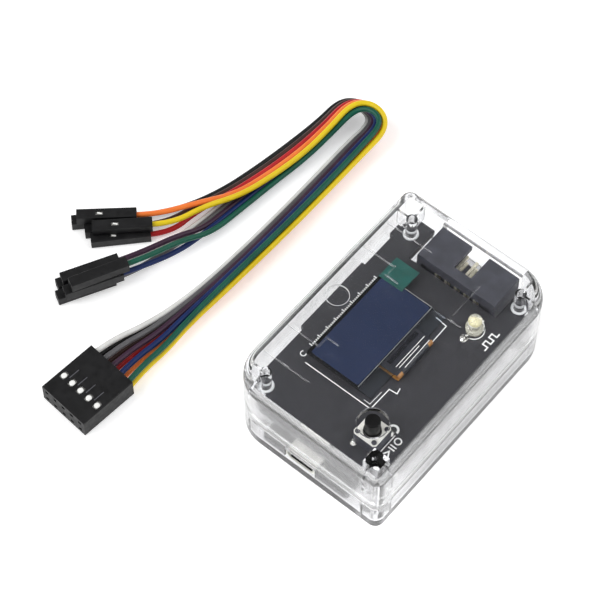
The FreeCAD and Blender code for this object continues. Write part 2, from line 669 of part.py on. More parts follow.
LOWER_FREE = [(-31.9, 50.2, 1.3), (-25.4, 48.0, 1.2), (-18.0, 46.2, 0.7), (-8.5, 44.3, 0.72),
              (4.0, 43.5, 0.8), (17.0, 43.3, 0.8), (30.0, 43.4, 0.85), (40.0, 43.4, 0.85),
              (47.4, 42.9, 0.9), (50.55, 45.8, 1.4), (50.55, 50.0, 2.2), (47.4, 53.1, 2.5),
              (40.6, 53.3, 2.1), (31.6, 54.4, 1.9), (21.8, 55.9, 1.9), (12.8, 58.0, 1.5)]
LOWER_SEAM = [(-32.6, 41.2, 1.4), (-25.8, 40.5, 1.9), (-18.4, 40.7, 2.6), (-8.8, 39.9, 3.4),
              (4.0, 39.3, 3.8), (17.0, 39.1, 3.8), (30.0, 39.1, 4.0), (38.9, 39.0, 4.5), (45.9, 38.6, 5.5),
              (48.95, 41.3, 6.7), (48.95, 45.7, 7.1), (45.9, 48.7, 6.6), (38.8, 48.9, 5.0),
              (30.4, 49.5, 3.9), (21.4, 51.0, 3.8), (12.9, 53.2, 3.8)]

# Each bundle of single housings: wire end of its lowest near housing, its heading, and for every
# wire the housing's place (along, across, row, twist) with row 0 on the bench and the others on top.
BUNDLES = {
    "lower": {"at": (-5.6, 61.5), "turn": -43.0, "places": {
        "red": (-1.2, 0.6, 0, 0.0), "brown": (-2.3, 3.2, 0, 0.0), "black": (-5.0, 5.8, 0, 0.0),
        "yellow": (-0.6, 1.5, 1, -3.0), "orange": (-3.8, 4.4, 1, -5.0)}},
    "upper": {"at": (-19.6, 61.3), "turn": -28.0, "places": {
        "grey": (0.0, 0.0, 0, 0.0), "white": (1.0, 2.9, 0, 0.0), "blue": (1.6, -1.0, 1, 0.0),
        "purple": (2.1, 2.4, 1, 0.0), "green": (3.1, -0.7, 2, 1.5)}},
}
BEND_POINTS = {
    "white": (-4.6, 58.3, 0.75), "grey": (-5.2, 57.0, 0.8), "purple": (-3.6, 57.0, 3.5),
    "blue": (-5.6, 54.9, 1.7), "green": (-4.2, 55.0, 4.4),
    "black": (4.8, 61.6, 0.8), "brown": (4.8, 60.2, 1.4), "red": (4.6, 58.8, 1.7),
    "orange": (4.8, 59.1, 4.4), "yellow": (5.4, 57.0, 4.6),
}
ROW_Z = (1.27, 3.83, 6.39)
STRAIGHT_END = 4.6


def direction(turn):
    angle = math.radians(turn)
    return V(math.cos(angle), math.sin(angle), 0)


def housing_exit(layer, index):
    """Where a wire leaves the ten-way housing."""
    ahead = direction(LEAD_HOUSING_TURN)
    across = V(-ahead.y, ahead.x, 0)
    row = LEAD_ROW_Z[1] if layer == "upper" else LEAD_ROW_Z[0]
    start = V(LEAD_HOUSING_AT[0], LEAD_HOUSING_AT[1], row)
    return start + across * (PIN_PITCH * (2 - index))


def bundle_end(layer, colour):
    """Wire-side end of a single housing, and its heading in degrees."""
    bundle = BUNDLES[layer]
    ahead = direction(bundle["turn"])
    across = V(-ahead.y, ahead.x, 0)
    along, side, row, twist = bundle["places"][colour]
    start = V(bundle["at"][0], bundle["at"][1], ROW_Z[row])
    return start + ahead * along + across * side, bundle["turn"] + twist


def wire_route(layer, index):
    colour = LAYERS[layer][index]
    free, seam = (UPPER_FREE, UPPER_SEAM) if layer == "upper" else (LOWER_FREE, LOWER_SEAM)
    share = index / 4
    points = [housing_exit(layer, index)]
    for a, b in zip(free, seam):
        points.append(V(*a) * (1 - share) + V(*b) * share)
    points.append(V(*BEND_POINTS[colour]))
    end, turn = bundle_end(layer, colour)
    points.append(end + direction(turn) * STRAIGHT_END)
    points.append(end)
    return points


def tube(points, diameter, name):
    """Round tube along straight runs joined by tangent arcs as large as the runs allow."""
    edges = []
    tightest = 1e9
    start = points[0]
    for k in range(1, len(points) - 1):
        before = points[k] - points[k - 1]
        after = points[k + 1] - points[k]
        turn = before.getAngle(after)
        shorter = min(before.Length, after.Length)
        radius = 0.45 * shorter / math.tan(turn / 2)
        tightest = min(tightest, radius)
        back = V(before).normalize()
        forth = V(after).normalize()
        first = points[k] - back * (0.45 * shorter)
        last = points[k] + forth * (0.45 * shorter)
        inward = (forth - back).normalize()
        middle = points[k] + inward * (radius / math.cos(turn / 2) - radius)
        edges.append(Part.LineSegment(start, first).toShape())
        edges.append(Part.Arc(first, middle, last).toShape())
        start = last
    edges.append(Part.LineSegment(start, points[-1]).toShape())
    path = Part.Wire(edges)
    normal = points[1] - points[0]
    ring = Part.Wire(Part.makeCircle(diameter / 2, points[0], normal))
    solid = path.makePipeShell([ring], True, False)
    expected = math.pi * diameter * diameter / 4 * path.Length
    print("%-12s length %.1f mm, tightest radius %.1f mm, volume ratio %.4f, lowest %.2f" %
          (name, path.Length, tightest, solid.Volume / expected, solid.BoundBox.ZMin))
    return solid


def placed(shape, at, turn):
    moved = shape.copy()
    moved.Placement = FreeCAD.Placement(V(at[0], at[1], 0), FreeCAD.Rotation(V(0, 0, 1), turn))
    return moved


def lead_housing():
    """Ten-way housing, drawn with its wire side at x = 0 and its sockets at x = -length."""
    half = LEAD_HOUSING_WIDTH / 2
    mouth = -LEAD_HOUSING_LENGTH
    body = box(mouth, 0, -half, half, 0, LEAD_HOUSING_HEIGHT)
    long_edges = [e for e in body.Edges if abs(e.BoundBox.XLength - LEAD_HOUSING_LENGTH) < 1e-4]
    body = body.makeFillet(0.25, long_edges)
    for k in range(5):
        y = PIN_PITCH * (2 - k)
        for row_z in LEAD_ROW_Z:
            body = body.cut(box(mouth - 1, mouth + 3.0, y - 0.45, y + 0.45, row_z - 0.45, row_z + 0.45))
        for low, high in ((LEAD_HOUSING_HEIGHT - 0.75, LEAD_HOUSING_HEIGHT + 1), (-1, 0.75)):
            body = body.cut(rounded_box(*LEAD_WINDOW_X, y - 0.7, y + 0.7, low, high, 0.35))
    for k in range(4):
        y = PIN_PITCH * (1.5 - k)
        for low, high in ((LEAD_HOUSING_HEIGHT - 0.25, LEAD_HOUSING_HEIGHT + 1), (-1, 0.25)):
            body = body.cut(box(*LEAD_GROOVE_X, y - 0.14, y + 0.14, low, high))
    return placed(body, LEAD_HOUSING_AT, LEAD_HOUSING_TURN)


def lead_housing_contacts():
    """Crimp contacts that show in the windows of the ten-way housing."""
    x0, x1 = LEAD_WINDOW_X
    solids = []
    for k in range(5):
        y = PIN_PITCH * (2 - k)
        for low, high in ((0.25, 0.74), (LEAD_HOUSING_HEIGHT - 0.74, LEAD_HOUSING_HEIGHT - 0.25)):
            solids.append(rounded_box(x0 + 0.05, x1 - 0.05, y - 0.65, y + 0.65, low, high, 0.3))
    return placed(Part.makeCompound(solids), LEAD_HOUSING_AT, LEAD_HOUSING_TURN)


def at_bundle_end(shape, layer, colour):
    """Put a shape that is drawn with its wire end at the origin where its single housing lies."""
    end, turn = bundle_end(layer, colour)
    heading = FreeCAD.Rotation(V(0, 0, 1), turn)
    roll = FreeCAD.Rotation(V(1, 0, 0), WINDOW_ROLL[layer])
    shape.Placement = FreeCAD.Placement(end, heading.multiply(roll))
    return shape


def single_housing(layer, colour):
    half = SINGLE_WIDTH / 2
    mouth = -SINGLE_LENGTH
    body = box(mouth, 0, -half, half, -half, half)
    long_edges = [e for e in body.Edges if abs(e.BoundBox.XLength - SINGLE_LENGTH) < 1e-4]
    body = body.makeFillet(0.2, long_edges)
    body = body.cut(box(mouth - 1, mouth + 3.0, -0.45, 0.45, -0.45, 0.45))
    body = body.cut(box(*SINGLE_WINDOW_X, -0.5, 0.5, half - 0.55, half + 1))
    return at_bundle_end(body, layer, colour)


def probe_contacts():
    """Contact that shows in the window of every single housing."""
    half = SINGLE_WIDTH / 2
    x0, x1 = SINGLE_WINDOW_X
    solids = []
    for layer, colours in LAYERS.items():
        for colour in colours:
            strip = box(x0 + 0.05, x1 - 0.05, -0.45, 0.45, half - 0.54, half - 0.2)
            solids.append(at_bundle_end(strip, layer, colour))
    return Part.makeCompound(solids)


# ---------------------------------------------------------------- write every node
NODES = [top_shell, bottom_shell, panel_board, main_board, link_socket, link_pin_strip, link_pins,
         display_tape, display_substrate, display_cover_glass, display_polarizer, display_driver_chip,
         display_flex, display_pull_tab, header_shroud, header_pins, button_base, button_cover,
         button_plunger, button_dome, button_terminals, led_lens, led_leads, usb_shell, usb_tongue,
         usb_contacts, microcontroller, microcontroller_pins, input_buffers, input_buffer_pins,
         memory_chip, voltage_regulator, crystal_oscillator, resistors, capacitors, lamp_resistor,
         lead_housing, lead_housing_contacts, probe_contacts]

for node in NODES:
    save(node.__name__, node())
for layer_name, colour_names in LAYERS.items():
    for place, colour_name in enumerate(colour_names):
        route = wire_route(layer_name, place)
        save("wire_" + colour_name, tube(route, WIRE_DIAMETER, "wire_" + colour_name))
        save("probe_socket_" + colour_name, single_housing(layer_name, colour_name))
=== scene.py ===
"""Looks of a pocket logic analyzer in a clear case, with its loose ten-way probe lead set.

Everything is in metres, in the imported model's frame: +Z up, +X along the case towards the
probe socket, +Y across the case towards the lead set.
"""

import json
import math

import bmesh
import bpy
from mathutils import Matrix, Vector


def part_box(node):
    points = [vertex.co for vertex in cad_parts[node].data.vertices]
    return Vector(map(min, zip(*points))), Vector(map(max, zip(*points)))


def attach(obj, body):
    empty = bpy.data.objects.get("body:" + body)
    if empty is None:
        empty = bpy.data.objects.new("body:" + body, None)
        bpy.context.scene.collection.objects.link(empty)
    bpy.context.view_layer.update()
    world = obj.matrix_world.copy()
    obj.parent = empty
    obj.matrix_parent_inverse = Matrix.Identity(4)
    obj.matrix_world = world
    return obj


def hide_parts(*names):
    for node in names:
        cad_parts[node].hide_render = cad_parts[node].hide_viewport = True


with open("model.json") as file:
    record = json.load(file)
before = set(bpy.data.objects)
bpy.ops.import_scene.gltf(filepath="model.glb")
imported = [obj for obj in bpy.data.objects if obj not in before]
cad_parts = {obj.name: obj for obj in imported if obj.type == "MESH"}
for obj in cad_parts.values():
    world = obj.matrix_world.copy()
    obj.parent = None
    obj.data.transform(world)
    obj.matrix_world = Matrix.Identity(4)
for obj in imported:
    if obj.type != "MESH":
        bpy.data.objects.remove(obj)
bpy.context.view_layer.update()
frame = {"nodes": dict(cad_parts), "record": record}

MM = 0.001
WALL_HAZE = 0.17
LID_GLOSS = 0.03
NODES = frame["nodes"]
SLOT_OF = {part["node"]: part["material_slot"] for part in frame["record"]["subparts"]}


def mm_box(node):
    low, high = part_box(node)
    return low / MM, high / MM


PANEL_TOP = mm_box("panel_board")[1].z
LID_TOP = mm_box("top_shell")[1].z
PARTING_Z = mm_box("top_shell")[0].z
LID_Z = (LID_TOP - 2.6, LID_TOP - 1.2)      # hazed wall below, clear lid above


# ---------------------------------------------------------------- camera
CAMERA_TARGET = Vector((2.46, 27.29, 0.0))
CAMERA_DISTANCE = 514.5
CAMERA_TURN = 39.68
CAMERA_RISE = 59.07
CAMERA_LENS = 142.6


def make_camera():
    turn = math.radians(CAMERA_TURN)
    rise = math.radians(CAMERA_RISE)
    back = Vector((-math.cos(turn) * math.cos(rise), -math.sin(turn) * math.cos(rise), math.sin(rise)))
    camera = bpy.data.objects.new("camera", bpy.data.cameras.new("camera"))
    camera.data.lens = CAMERA_LENS
    camera.data.sensor_width = 36.0
    camera.data.clip_start = 0.01
    camera.data.clip_end = 50.0
    camera.location = (CAMERA_TARGET + back * CAMERA_DISTANCE) * MM
    camera.rotation_mode = "QUATERNION"
    camera.rotation_quaternion = (-back).to_track_quat("-Z", "Y")
    bpy.context.scene.collection.objects.link(camera)
    bpy.context.scene.camera = camera


make_camera()


# ---------------------------------------------------------------- node materials
class Finish:
    """One Principled material with helpers for the patterns that feed it."""

    def __init__(self, name, color, roughness, metallic=0.0):
        self.material = bpy.data.materials.new(name)
        self.material.use_nodes = True
        self.tree = self.material.node_tree
        self.shader = self.tree.nodes["Principled BSDF"]
        self.place = self.tree.nodes.new("ShaderNodeTexCoord").outputs["Object"]
        self.color = color
        self.roughness = roughness
        self.set("Base Color", (*color, 1.0))
        self.set("Roughness", roughness)
        self.set("Metallic", metallic)

    def set(self, socket, value):
        self.shader.inputs[socket].default_value = value
        return self

    def link(self, output, socket):
        """Link to a socket, or to the shader's socket of that name."""
        self.tree.links.new(output, self.shader.inputs[socket] if isinstance(socket, str) else socket)

    def noise(self, size_mm, detail=3.0, stretch=(1.0, 1.0, 1.0), rough=0.55):
        """Noise whose patches are about size_mm across."""
        mapping = self.tree.nodes.new("ShaderNodeMapping")
        mapping.inputs["Scale"].default_value = stretch
        texture = self.tree.nodes.new("ShaderNodeTexNoise")
        texture.inputs["Scale"].default_value = 1.0 / (size_mm * MM)
        texture.inputs["Detail"].default_value = detail
        texture.inputs["Roughness"].default_value = rough
        self.link(self.place, mapping.inputs["Vector"])
        self.link(mapping.outputs["Vector"], texture.inputs["Vector"])
        return texture.outputs["Fac"]

    def cells(self, size_mm, feature="F1"):
        texture = self.tree.nodes.new("ShaderNodeTexVoronoi")
        texture.feature = feature
        texture.inputs["Scale"].default_value = 1.0 / (size_mm * MM)
        self.link(self.place, texture.inputs["Vector"])
        return texture.outputs["Distance"]

    def along(self, axis):
        split = self.tree.nodes.new("ShaderNodeSeparateXYZ")
        self.link(self.place, split.inputs["Vector"])
        return split.outputs[axis]

    def calculate(self, operation, *values):
        node = self.tree.nodes.new("ShaderNodeMath")
        node.operation = operation
        for value, socket in zip(values, node.inputs):
            self.link(value, socket)
        return node.outputs["Value"]

    def ramp(self, value, low, high, bottom=0.0, top=1.0):
        node = self.tree.nodes.new("ShaderNodeMapRange")
        for socket, number in (("From Min", low), ("From Max", high), ("To Min", bottom), ("To Max", top)):
            node.inputs[socket].default_value = number
        self.link(value, node.inputs["Value"])
        return node.outputs["Result"]

    def tint(self, pattern, other, low=0.35, high=0.65):
        """Base colour goes towards `other` where the pattern is high."""
        mix = self.tree.nodes.new("ShaderNodeMix")
        mix.data_type = "RGBA"
        self.link(self.ramp(pattern, low, high), mix.inputs["Factor"])
        socket = self.shader.inputs["Base Color"]
        if socket.is_linked:
            self.link(socket.links[0].from_socket, mix.inputs["A"])
        else:
            mix.inputs["A"].default_value = (*self.color, 1.0)
        mix.inputs["B"].default_value = (*other, 1.0)
        self.link(mix.outputs["Result"], socket)
        return self

    def wear(self, pattern, spread):
        """Roughness varies by `spread` each way with the pattern."""
        low = max(self.roughness - spread, 0.0)
        high = min(self.roughness + spread, 1.0)
        self.link(self.ramp(pattern, 0.3, 0.7, low, high), self.shader.inputs["Roughness"])
        return self

    def bump(self, pattern, height_mm, strength=1.0):
        node = self.tree.nodes.new("ShaderNodeBump")
        node.inputs["Distance"].default_value = height_mm * MM
        node.inputs["Strength"].default_value = strength
        self.link(pattern, node.inputs["Height"])
        socket = self.shader.inputs["Normal"]
        if socket.is_linked:
            self.link(socket.links[0].from_socket, node.inputs["Normal"])
        self.link(node.outputs["Normal"], socket)
        return self


def clear_plastic(name, color, roughness, ior):
    finish = Finish(name, color, roughness)
    finish.set("Transmission Weight", 1.0).set("IOR", ior)
    finish.wear(finish.noise(4.0, 4.0), roughness * 0.6)
    finish.bump(finish.noise(0.25, 2.0, (1.0, 0.06, 1.0)), 0.0015, 0.5)
    return finish.material


def lens_resin():
    """Pale, slightly milky casting resin."""
    finish = Finish("clear_lens", (0.80, 0.79, 0.66), 0.12)
    finish.set("Transmission Weight", 0.72).set("IOR", 1.5)
    finish.tint(finish.noise(0.9, 3.0), (0.92, 0.91, 0.82))
    finish.bump(finish.noise(1.2, 2.0), 0.02, 0.4)
    return finish.material


def case_plastic():
    """Clear lid and posts, walls hazed by the mould's draw marks, and a greyer lower shell."""
    finish = Finish("clear_case", (0.975, 0.978, 0.985), LID_GLOSS)
    finish.set("Transmission Weight", 1.0).set("IOR", 1.45)
    height = finish.along("Z")
    below_lid = finish.ramp(height, LID_Z[0] * MM, LID_Z[1] * MM, 1.0, 0.0)
    in_ends = finish.ramp(finish.calculate("ABSOLUTE", finish.along("X")), 25.8 * MM, 26.4 * MM)
    in_sides = finish.ramp(finish.calculate("ABSOLUTE", finish.along("Y")), 16.2 * MM, 16.6 * MM)
    walls = finish.calculate("MULTIPLY", below_lid, finish.calculate("MAXIMUM", in_ends, in_sides))
    streaks = finish.ramp(finish.noise(2.2, 3.0, (1.0, 1.0, 0.1)), 0.3, 0.7, 0.55, 1.3)
    haze = finish.ramp(finish.calculate("MULTIPLY", walls, streaks), 0.0, 1.0, LID_GLOSS, WALL_HAZE)
    finish.link(haze, "Roughness")
    finish.tint(finish.ramp(height, PARTING_Z * MM, (PARTING_Z - 0.3) * MM), (0.80, 0.80, 0.81), 0.0, 1.0)
    finish.bump(finish.noise(2.2, 2.0, (1.0, 1.0, 0.06)), 0.008, 0.3)
    finish.bump(finish.noise(0.25, 2.0, (1.0, 0.06, 1.0)), 0.0015, 0.5)
    return finish.material


def moulded_plastic(name, color, roughness, grain_mm=0.12, height_mm=0.006, coat=0.0, shine=0.5):
    finish = Finish(name, color, roughness)
    lighter = tuple(c * 1.5 + 0.002 for c in color)
    finish.tint(finish.noise(2.2, 4.0), lighter)
    finish.wear(finish.noise(1.1, 3.0), 0.08)
    finish.bump(finish.noise(grain_mm, 3.0), height_mm, 0.7)
    finish.bump(finish.noise(3.0, 2.0), 0.02, 0.25)
    finish.set("Coat Weight", coat).set("Coat Roughness", 0.25).set("Specular IOR Level", shine)
    return finish.material


def solder_mask(name, color, track):
    """Dark mask over copper: faint raised tracks, a fine orange peel and dust."""
    finish = Finish(name, color, 0.42)
    dust = tuple(c * 2.2 + 0.006 for c in color)
    finish.tint(finish.noise(0.35, 5.0, rough=0.7), dust, 0.45, 0.8)
    finish.tint(finish.cells(2.6, "DISTANCE_TO_EDGE"), track, 0.08, 0.03)
    finish.wear(finish.noise(1.5, 3.0), 0.08)
    finish.bump(finish.cells(2.6, "DISTANCE_TO_EDGE"), 0.01, 0.25)
    finish.bump(finish.noise(0.2, 2.0), 0.004, 0.6)
    return finish.material


def metal(name, color, roughness, brush_mm=0.08, stretch=(1.0, 0.08, 1.0)):
    finish = Finish(name, color, roughness, 1.0)
    finish.tint(finish.noise(1.4, 4.0), tuple(c * 0.72 for c in color))
    finish.wear(finish.noise(0.6, 3.0), 0.1)
    finish.bump(finish.noise(brush_mm, 2.0, stretch), 0.003, 0.6)
    return finish.material


def plated_sheet():
    """Dull nickel plate that looks nearly white from above."""
    finish = Finish("bright_steel", (0.86, 0.85, 0.80), 0.5, 0.35)
    finish.tint(finish.noise(1.4, 4.0), (0.74, 0.735, 0.69))
    finish.wear(finish.noise(0.6, 3.0), 0.1)
    finish.bump(finish.noise(0.08, 2.0, (1.0, 0.08, 1.0)), 0.003, 0.6)
    return finish.material


def sleeve(name, color, lighter):
    """Soft PVC insulation: satin, faintly uneven, with fine drawing marks."""
    finish = Finish(name, color, 0.38)
    finish.tint(finish.noise(5.0, 3.0), lighter, 0.35, 0.75)
    finish.wear(finish.noise(0.8, 3.0), 0.09)
    finish.bump(finish.noise(0.3, 3.0), 0.008, 0.5)
    finish.set("Coat Weight", 0.05).set("Coat Roughness", 0.3).set("Specular IOR Level", 0.3)
    finish.set("Subsurface Weight", 0.04).set("Subsurface Radius", (0.001, 0.0008, 0.0006))
    return finish.material


def display_film():
    finish = Finish("display_film", (0.008, 0.015, 0.042), 0.22)
    finish.tint(finish.noise(9.0, 2.0), (0.014, 0.022, 0.056), 0.3, 0.75)
    finish.tint(finish.noise(0.3, 4.0, rough=0.7), (0.016, 0.026, 0.060), 0.45, 0.7)
    finish.bump(finish.noise(0.2, 2.0), 0.002, 0.4)
    return finish.material


def amber_film():
    finish = Finish("amber_flex", (0.40, 0.185, 0.035), 0.34)
    finish.tint(finish.noise(1.0, 3.0), (0.25, 0.10, 0.02))
    finish.bump(finish.noise(0.3, 2.0), 0.01, 0.5)
    finish.set("Coat Weight", 0.5).set("Coat Roughness", 0.15)
    return finish.material


def teal_film():
    finish = Finish("teal_film", (0.004, 0.052, 0.044), 0.34)
    finish.tint(finish.noise(3.0, 3.0), (0.007, 0.075, 0.063))
    finish.bump(finish.noise(0.8, 2.0), 0.02, 0.4)
    finish.set("Coat Weight", 0.4).set("Coat Roughness", 0.15)
    return finish.material


def ink(name, color, roughness=0.55):
    finish = Finish(name, color, roughness)
    finish.tint(finish.noise(0.12, 4.0, rough=0.7), tuple(c * 0.72 for c in color), 0.5, 0.8)
    finish.bump(finish.noise(0.08, 2.0), 0.006, 0.5)
    return finish.material


WIRE_COLORS = {
    "white": ((0.62, 0.62, 0.60), (0.75, 0.75, 0.73)),
    "grey": ((0.080, 0.078, 0.083), (0.115, 0.112, 0.118)),
    "purple": ((0.030, 0.010, 0.027), (0.048, 0.018, 0.042)),
    "blue": ((0.001, 0.012, 0.080), (0.003, 0.022, 0.115)),
    "green": ((0.0005, 0.068, 0.040), (0.002, 0.095, 0.058)),
    "black": ((0.002, 0.002, 0.0025), (0.006, 0.006, 0.0065)),
    "brown": ((0.040, 0.014, 0.011), (0.060, 0.024, 0.018)),
    "red": ((0.380, 0.007, 0.011), (0.480, 0.014, 0.016)),
    "orange": ((0.780, 0.165, 0.024), (0.850, 0.215, 0.045)),
    "yellow": ((0.680, 0.490, 0.004), (0.760, 0.570, 0.014)),
}


def make_finishes():
    made = {
        "clear_case": case_plastic(),
        "clear_lens": lens_resin(),
        "display_glass": clear_plastic("display_glass", (0.70, 0.76, 0.82), 0.03, 1.5),
        "panel_laminate": solder_mask("panel_laminate", (0.0175, 0.0175, 0.021), (0.023, 0.023, 0.028)),
        "main_laminate": solder_mask("main_laminate", (0.016, 0.017, 0.020), (0.028, 0.029, 0.034)),
        "black_nylon": moulded_plastic("black_nylon", (0.026, 0.027, 0.036), 0.5),
        "foam_tape": moulded_plastic("foam_tape", (0.012, 0.012, 0.013), 0.9, 0.2, 0.05),
        "chip_epoxy": moulded_plastic("chip_epoxy", (0.014, 0.014, 0.015), 0.6, 0.06, 0.01),
        "resistor_body": moulded_plastic("resistor_body", (0.012, 0.012, 0.013), 0.35, 0.1, 0.004),
        "capacitor_body": moulded_plastic("capacitor_body", (0.30, 0.19, 0.11), 0.45, 0.1, 0.006),
        "black_plunger": moulded_plastic("black_plunger", (0.002, 0.002, 0.0022), 0.45, 0.1, 0.004,
                                         shine=0.22),
        "housing_plastic": moulded_plastic("housing_plastic", (0.004, 0.004, 0.0045), 0.5, 0.1, 0.006,
                                           shine=0.28),
        "silicon": metal("silicon", (0.10, 0.105, 0.13), 0.18),
        "gold_pins": metal("gold_pins", (0.98, 0.93, 0.76), 0.4),
        "bright_steel": plated_sheet(),
        "tinned_metal": metal("tinned_metal", (0.87, 0.86, 0.83), 0.24),
        "display_film": display_film(),
        "amber_flex": amber_film(),
        "teal_film": teal_film(),
    }
    for color, (base, lighter) in WIRE_COLORS.items():
        made["wire_" + color] = sleeve("wire_" + color, base, lighter)
    return made


FINISH = make_finishes()
WHITE_INK = ink("white_ink", (0.82, 0.83, 0.82))
SOLDER = metal("solder", (0.90, 0.89, 0.85), 0.2, 0.3, (1.0, 1.0, 1.0))
COVERLAY = moulded_plastic("coverlay", (0.010, 0.011, 0.016), 0.35, 0.2, 0.004)
PHOSPHOR = ink("phosphor", (0.80, 0.74, 0.42), 0.4)
# Painted highlight: pale ink for strokes that stand in for light caught on seams, edges and contacts.
PAINTED_GLINT = ink("painted_glint", (0.90, 0.90, 0.88), 0.3)
# Painted highlight: grey strokes that stand in for the lit walls of the housing's slots.
GROOVE_HIGHLIGHT = moulded_plastic("painted_groove_highlight", (0.07, 0.07, 0.08), 0.5)
# Painted highlight: pale rings that stand in for light caught at the post feet, the gate rim and the lens rim.
PALE_GLINT = ink("pale_painted_glint", (0.62, 0.63, 0.64), 0.4)
# Painted highlight: pale lines that stand in for light caught by the glass edges.
GLASS_EDGE_GLINT = ink("painted_glass_edge_glint", (0.26, 0.27, 0.28), 0.45)

for node_name, node in NODES.items():
    node.data.materials.clear()
    node.data.materials.append(FINISH[SLOT_OF[node_name]])


# ---------------------------------------------------------------- probe leads
LEAD_DIAMETER = 1.25
PIN_PITCH = 2.54
LAYERS = {"upper": ["white", "grey", "purple", "blue", "green"],
          "lower": ["black", "brown", "red", "orange", "yellow"]}
LEAD_ROW_Z = {"upper": 3.82, "lower": 1.28}
LEAD_HOUSING_AT = (-37.2, 45.9)
LEAD_HOUSING_TURN = -5.0
STRAIGHT_END = 4.6
ROW_Z = (1.27, 3.83, 6.39)
FREE_EDGE = {
    "upper": [(-31.9, 50.2, 3.5), (-25.4, 48.0, 2.7), (-18.0, 46.3, 2.1), (-8.5, 45.1, 1.75),
              (4.0, 44.5, 1.7), (17.0, 44.3, 1.7), (30.0, 44.4, 1.75), (39.6, 44.6, 1.8),
              (46.9, 44.2, 1.75), (49.2, 46.2, 1.6), (49.2, 49.6, 1.9), (46.9, 51.9, 1.5),
              (40.5, 52.6, 0.95), (31.6, 53.7, 0.7), (21.6, 55.0, 0.7), (11.8, 56.0, 0.7),
              (2.6, 57.0, 0.7)],
    "lower": [(-31.9, 50.2, 1.3), (-25.4, 48.0, 1.2), (-18.0, 46.2, 0.7), (-8.5, 44.3, 0.72),
              (4.0, 43.5, 0.8), (17.0, 43.3, 0.8), (30.0, 43.4, 0.85), (40.0, 43.4, 0.85),
              (47.4, 42.9, 0.9), (50.55, 45.8, 1.4), (50.55, 50.0, 2.2), (47.4, 53.1, 2.5),
              (40.6, 53.3, 2.1), (31.6, 54.4, 1.9), (21.8, 55.9, 1.9), (12.8, 58.0, 1.5)],
}
SEAM_EDGE = {
    "upper": [(-32.6, 41.2, 3.6), (-25.8, 40.8, 3.3), (-18.4, 41.0, 3.9), (-8.8, 40.7, 4.5),
              (4.0, 40.3, 4.7), (17.0, 40.1, 4.7), (30.0, 40.1, 4.9), (38.6, 40.1, 5.5), (45.3, 39.9, 6.4),
              (47.6, 41.8, 6.9), (47.6, 45.2, 6.7), (45.3, 47.5, 5.7), (38.6, 48.2, 3.8),
              (30.2, 48.9, 2.6), (20.8, 50.2, 2.5), (11.2, 51.2, 2.5), (2.2, 52.2, 2.5)],
    "lower": [(-32.6, 41.2, 1.4), (-25.8, 40.5, 1.9), (-18.4, 40.7, 2.6), (-8.8, 39.9, 3.4),
              (4.0, 39.3, 3.8), (17.0, 39.1, 3.8), (30.0, 39.1, 4.0), (38.9, 39.0, 4.5), (45.9, 38.6, 5.5),
              (48.95, 41.3, 6.7), (48.95, 45.7, 7.1), (45.9, 48.7, 6.6), (38.8, 48.9, 5.0),
              (30.4, 49.5, 3.9), (21.4, 51.0, 3.8), (12.9, 53.2, 3.8)],
}
BUNDLES = {
    "lower": {"at": (-5.6, 61.5), "turn": -43.0, "places": {
        "red": (-1.2, 0.6, 0, 0.0), "brown": (-2.3, 3.2, 0, 0.0), "black": (-5.0, 5.8, 0, 0.0),
        "yellow": (-0.6, 1.5, 1, -3.0), "orange": (-3.8, 4.4, 1, -5.0)}},
    "upper": {"at": (-19.6, 61.3), "turn": -28.0, "places": {
        "grey": (0.0, 0.0, 0, 0.0), "white": (1.0, 2.9, 0, 0.0), "blue": (1.6, -1.0, 1, 0.0),
        "purple": (2.1, 2.4, 1, 0.0), "green": (3.1, -0.7, 2, 1.5)}},
}
BEND_POINTS = {
    "white": (-4.6, 58.3, 0.75), "grey": (-5.2, 57.0, 0.8), "purple": (-3.6, 57.0, 3.5),
    "blue": (-5.6, 54.9, 1.7), "green": (-4.2, 55.0, 4.4),
    "black": (4.8, 61.6, 0.8), "brown": (4.8, 60.2, 1.4), "red": (4.6, 58.8, 1.7),
    "orange": (4.8, 59.1, 4.4), "yellow": (5.4, 57.0, 4.6),
}


def heading(turn):
    angle = math.radians(turn)
    return Vector((math.cos(angle), math.sin(angle), 0.0)), Vector((-math.sin(angle), math.cos(angle), 0.0))


def bundle_end(layer, color):
    """Wire end of a single housing, and its heading in degrees."""
    bundle = BUNDLES[layer]
    ahead, across = heading(bundle["turn"])
    along, side, row, twist = bundle["places"][color]
    return Vector((*bundle["at"], ROW_Z[row])) + ahead * along + across * side, bundle["turn"] + twist


def lead_route(layer, color):
    index = LAYERS[layer].index(color)
    _, across = heading(LEAD_HOUSING_TURN)
    points = [Vector((*LEAD_HOUSING_AT, LEAD_ROW_Z[layer])) + across * (PIN_PITCH * (2 - index))]
    share = index / 4
    for free, seam in zip(FREE_EDGE[layer], SEAM_EDGE[layer]):
        points.append(Vector(free) * (1 - share) + Vector(seam) * share)
    points.append(Vector(BEND_POINTS[color]))
    end, turn = bundle_end(layer, color)
    points += [end + heading(turn)[0] * STRAIGHT_END, end]
    return points


def make_lead(layer, color):
    curve = bpy.data.curves.new("lead_" + color, "CURVE")
    curve.dimensions = "3D"
    curve.bevel_depth = LEAD_DIAMETER / 2 * MM
    curve.bevel_resolution = 5
    curve.resolution_u = 10
    curve.use_fill_caps = True
    route = lead_route(layer, color)
    spline = curve.splines.new("NURBS")
    spline.points.add(len(route) - 1)
    for point, place in zip(spline.points, route):
        point.co = (*(place * MM), 1.0)
    spline.order_u = 3
    spline.use_endpoint_u = True
    lead = bpy.data.objects.new("lead_" + color, curve)
    bpy.context.scene.collection.objects.link(lead)
    curve.materials.append(FINISH["wire_" + color])
    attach(lead, "lead_set")
    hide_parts("wire_" + color)
    pieces = [NODES["probe_socket_" + color]]
    if color == "white":
        pieces += [NODES["lead_housing"], NODES["lead_housing_contacts"], NODES["probe_contacts"]]


for layer_name, color_names in LAYERS.items():
    for color_name in color_names:
        make_lead(layer_name, color_name)


